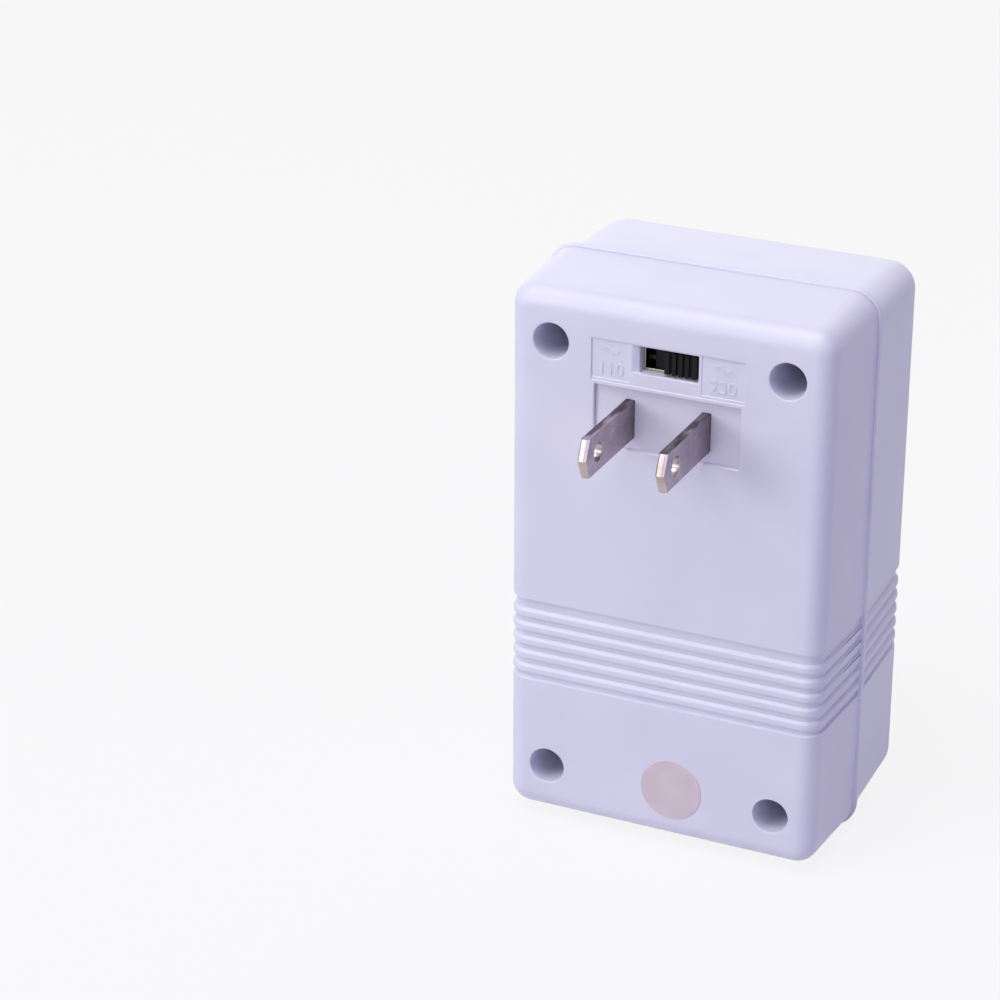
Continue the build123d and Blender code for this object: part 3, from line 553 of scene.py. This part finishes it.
def softened(node, material, round_mm, body="case"):
    """A copy of a CAD node with its corners welded and its flat faces rejoined, shown
    in the node's place with every sharp edge rounded by up to that much."""
    mesh = nodes[node].data.copy()
    bm = bmesh.new()
    bm.from_mesh(mesh)
    bmesh.ops.remove_doubles(bm, verts=bm.verts, dist=WELD)
    cuts = cut_rings(bm)
    bmesh.ops.dissolve_limit(bm, angle_limit=FLAT, verts=bm.verts, edges=bm.edges,
                             delimit={"NORMAL", "SEAM"})
    weigh_edges(bm, round_mm * MM)
    for face in bm.faces:
        face.smooth = True
    for edge in bm.edges:
        edge.smooth = edge.calc_face_angle(0.0) < SHARP
    bm.to_mesh(mesh)
    bm.free()
    mesh.materials.clear()
    mesh.materials.append(material)
    piece = bpy.data.objects.new(node + "_soft", mesh)
    bpy.context.scene.collection.objects.link(piece)
    bevel = piece.modifiers.new("edge_round", "BEVEL")
    bevel.width = round_mm * MM
    bevel.segments = ROUND_SEGMENTS
    bevel.limit_method = "WEIGHT"
    bevel.use_clamp_overlap = False
    bevel.harden_normals = True
    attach(piece, body)
    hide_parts(node)
    print(node, "rounded by up to", round_mm, "mm:", len(mesh.polygons), "faces,", cuts, "cuts")


softened("front_shell", abs_white, 0.38)
softened("rear_shell", abs_white, 0.22)
softened("plug_plate", abs_plate, 0.04)
softened("plug_blade_left", nickel_blade, 0.08)
softened("plug_blade_right", nickel_blade, 0.08)
softened("switch_frame", nickel_frame, 0.06)
softened("switch_knob", nylon_black, 0.06, body="knob")

# %% [markdown]
# ## Marks beside the switch
# The two sunk pads beside the switch tell which way the knob goes. Each holds
# a plain number, the mains voltage of that position, under the wave that
# stands for alternating current. They are moulded with the case, so they are
# white on white and only a tenth of a millimetre high. The numerals come from
# Blender's own font, because a text curve turns into a clean solid by itself,
# and the wave is a sine worked out as a bar.

# %% Raised numbers and waves
PAD_FLOOR_Y = 11.05
RAISED = 0.12
MARKS = (("left", "110", 9.5), ("right", "230", -9.15))
NUMBER_Z, NUMBER_HIGH = 80.75, 2.1
NUMERAL_SHARE = 0.7  # a numeral's height in its text's size
WAVE_Z = 84.85
WAVE_WIDE = 2.6
WAVE_HIGH = 0.45
WAVE_LINE = 0.34
WAVE_STEPS = 24


def ride_as_mark(name, mesh):
    """Makes the mesh a piece of the case, in the case's own plastic."""
    mesh.materials.clear()
    mesh.materials.append(abs_white)
    piece = bpy.data.objects.new(name, mesh)
    bpy.context.scene.collection.objects.link(piece)
    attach(piece, "case")
    print(name, len(mesh.polygons), "faces")


def raised_number(name, number, x):
    """A number drawn as text, made a solid mesh, then stood on the pad's floor: its
    reading direction runs to -X and its thickness to +Y."""
    text = bpy.data.curves.new(name, "FONT")
    text.body = number
    text.size = NUMBER_HIGH / NUMERAL_SHARE * MM
    text.align_x = "CENTER"
    text.extrude = RAISED / 2 * MM
    text.resolution_u = 4
    holder = bpy.data.objects.new(name + "_text", text)
    mesh = bpy.data.meshes.new_from_object(holder)
    bpy.data.objects.remove(holder)
    mesh.transform(Matrix(((-1, 0, 0, x * MM),
                           (0, 0, 1, (PAD_FLOOR_Y + RAISED / 2) * MM),
                           (0, 1, 0, NUMBER_Z * MM),
                           (0, 0, 0, 1))))
    ride_as_mark(name, mesh)


def raised_wave(name, x):
    """One period of a sine drawn as a bar: the middle line is z = high * sin(turn) over
    x, and the bar's four corners stand half its width off that line, at its normal.
    Each point is joined to the next one round the bar and the next one along it."""
    t = np.linspace(0.0, 1.0, WAVE_STEPS + 1)
    line = np.stack([x + WAVE_WIDE * (0.5 - t), WAVE_Z + WAVE_HIGH * np.sin(2 * np.pi * t)], axis=1)
    slope = np.gradient(line, axis=0)
    normal = np.stack([-slope[:, 1], slope[:, 0]], axis=1)
    normal *= WAVE_LINE / 2 / np.linalg.norm(normal, axis=1, keepdims=True)
    side = np.array([1, 1, -1, -1])[:, None]
    edge = line[:, None] + side * normal[:, None]
    depth = np.tile([PAD_FLOOR_Y, PAD_FLOOR_Y + RAISED, PAD_FLOOR_Y + RAISED, PAD_FLOOR_Y],
                    (WAVE_STEPS + 1, 1))
    points = np.stack([edge[..., 0], depth, edge[..., 1]], axis=2).reshape(-1, 3) * MM
    ring = 4 * np.arange(WAVE_STEPS)[:, None] + np.arange(4)
    after = 4 * np.arange(WAVE_STEPS)[:, None] + (np.arange(4) + 1) % 4
    walls = np.stack([ring, after, after + 4, ring + 4], axis=2).reshape(-1, 4)
    ends = [(3, 2, 1, 0), tuple(4 * WAVE_STEPS + k for k in range(4))]
    mesh = bpy.data.meshes.new(name)
    mesh.from_pydata(points.tolist(), [], [*walls.tolist(), *ends])
    ride_as_mark(name, mesh)


for side, number, x in MARKS:
    raised_number("mark_number_" + side, number, x)
    raised_wave("mark_wave_" + side, x)

# %% [markdown]
# ## Finishes of what keeps its CAD shape
# What lies inside, or shows only through an opening, needs no soft edges. It
# gets its finish and is otherwise shown as CAD made it.

# %% Finishes of the nodes that stay as they are
def finish_nodes(material, *names):
    """Puts one material on CAD nodes whose shape is right as it is."""
    for name in names:
        nodes[name].data.materials.clear()
        nodes[name].data.materials.append(material)
    print(material.name, "on", len(names), "nodes")


finish_nodes(zinc_screw, *[n for n in nodes if "screw" in n])
finish_nodes(bronze_strip, "socket_contact_left", "socket_contact_right", "earth_contact")
finish_nodes(phenolic, "socket_carrier", "socket_retainer")
finish_nodes(nylon_black, "switch_body")
finish_nodes(tinned_brass, *[n for n in nodes if n.startswith(("switch_terminal", "switch_bridge"))])
finish_nodes(core_steel, "core_e", "core_i")
finish_nodes(band_steel, "core_band")
finish_nodes(nylon_natural, "bobbin")
finish_nodes(copper_wire, "winding_lower", "winding_upper")
finish_nodes(polyester_tape, "winding_tape_lower", "winding_tape_upper")
finish_nodes(fuse_can, "thermal_fuse")
finish_nodes(lens_red, "lamp_lens")
finish_nodes(bulb_glass, "lamp_bulb")
finish_nodes(lacquered_ceramic, "lamp_resistor")
finish_nodes(sticker_paper, "round_sticker")

# %% [markdown]
# ## Floor
# A plain pale floor carries a soft shadow. Under these lamps its own colour
# would come out grey, so most of what the camera sees of it is plain white.
# The same white is shown to reflections and to what is seen through glass,
# but not to the rays that light the object, so it adds no light.

# %% Floor
WHITE = (1.0, 1.0, 1.0, 1.0)
WHITE_SHARE = 0.86
FLOOR_HALF = 4.0
FLOOR_Z = -0.0003


def seen_white(tree):
    """1 for the camera's own rays and for those that reach it by a reflection or
    through something clear, and 0 for the rays that light the object."""
    ray = add_node(tree, "ShaderNodeLightPath").outputs
    direct = add_node(tree, "ShaderNodeMath",
                      [(0, ray["Is Camera Ray"]), (1, ray["Is Glossy Ray"])], operation="MAXIMUM")
    through = add_node(tree, "ShaderNodeMath",
                       [(0, direct.outputs[0]), (1, ray["Is Transmission Ray"])],
                       operation="MAXIMUM")
    return through.outputs[0]


floor_material, floor_shader = new_material("studio_paper_white", "#D6D5DE", 0.9)
paper = floor_material.node_tree
share = add_node(paper, "ShaderNodeMath", [(0, seen_white(paper))], operation="MULTIPLY")
share.inputs[1].default_value = WHITE_SHARE
plain_white = add_node(paper, "ShaderNodeEmission", Color=WHITE, Strength=1.0)
blend = add_node(paper, "ShaderNodeMixShader",
                 [(0, share.outputs[0]), (1, floor_shader.outputs[0]), (2, plain_white.outputs[0])])
link_inputs(paper.nodes["Material Output"], [("Surface", blend.outputs[0])])
floor_mesh = bpy.data.meshes.new("floor")
floor_mesh.from_pydata([(-FLOOR_HALF, -FLOOR_HALF, FLOOR_Z), (FLOOR_HALF, -FLOOR_HALF, FLOOR_Z),
                        (FLOOR_HALF, FLOOR_HALF, FLOOR_Z), (-FLOOR_HALF, FLOOR_HALF, FLOOR_Z)],
                       [], [(0, 1, 2, 3)])
floor_mesh.materials.append(floor_material)
floor = bpy.data.objects.new("floor", floor_mesh)
bpy.context.scene.collection.objects.link(floor)
print("floor", 2 * FLOOR_HALF, "m wide")

# %% [markdown]
# ## World and lamps
# The world is a dim, slightly blue room that fills the shadows, and plain
# white to the camera. Wide lamps stand in for soft boxes: one above, one for
# the rear face, one for the side, which the photograph shows more violet than
# the rest, and the widest before the front face, which lights the top edge of
# the front half.

# %% World and lamps
ROOM_COLOUR, ROOM_STRENGTH = "#DCD9F2", 0.22
CASE_MIDDLE = Vector((0.0, 0.0, 0.05))

world = bpy.data.worlds.new("studio")
bpy.context.scene.world = world
world.use_nodes = True
sky = world.node_tree
room = sky.nodes["Background"]
room.inputs["Color"].default_value = linear(ROOM_COLOUR)
room.inputs["Strength"].default_value = ROOM_STRENGTH
white = add_node(sky, "ShaderNodeBackground", Color=WHITE, Strength=1.0)
choose = add_node(sky, "ShaderNodeMixShader",
                  [(0, seen_white(sky)), (1, room.outputs[0]), (2, white.outputs[0])])
link_inputs(sky.nodes["World Output"], [("Surface", choose.outputs[0])])


def soft_box(name, place, size, power, colour="#FFFFFF"):
    """A rectangular lamp at that place, facing the middle of the case."""
    lamp = bpy.data.lights.new(name, "AREA")
    lamp.shape, lamp.size, lamp.size_y = "RECTANGLE", size[0], size[1]
    lamp.energy = power
    lamp.color = linear(colour)[:3]
    holder = bpy.data.objects.new(name, lamp)
    bpy.context.scene.collection.objects.link(holder)
    holder.location = place
    holder.rotation_mode = "QUATERNION"
    holder.rotation_quaternion = (CASE_MIDDLE - Vector(place)).to_track_quat("-Z", "Y")
    print("lamp", name, "at", place, power, "W")


soft_box("soft_box_above", (0.12, 0.3, 0.9), (0.7, 0.6), 5.2)
soft_box("soft_box_rear_face", (0.6, 0.75, 0.4), (0.5, 0.5), 3.6)
soft_box("soft_box_side", (-0.9, 0.3, 0.35), (0.4, 0.4), 1.15, "#C8B7FF")
soft_box("soft_box_front", (0.2, -1.0, 0.55), (1.5, 0.9), 3.5)
bpy.context.scene.view_settings.view_transform = "Standard"
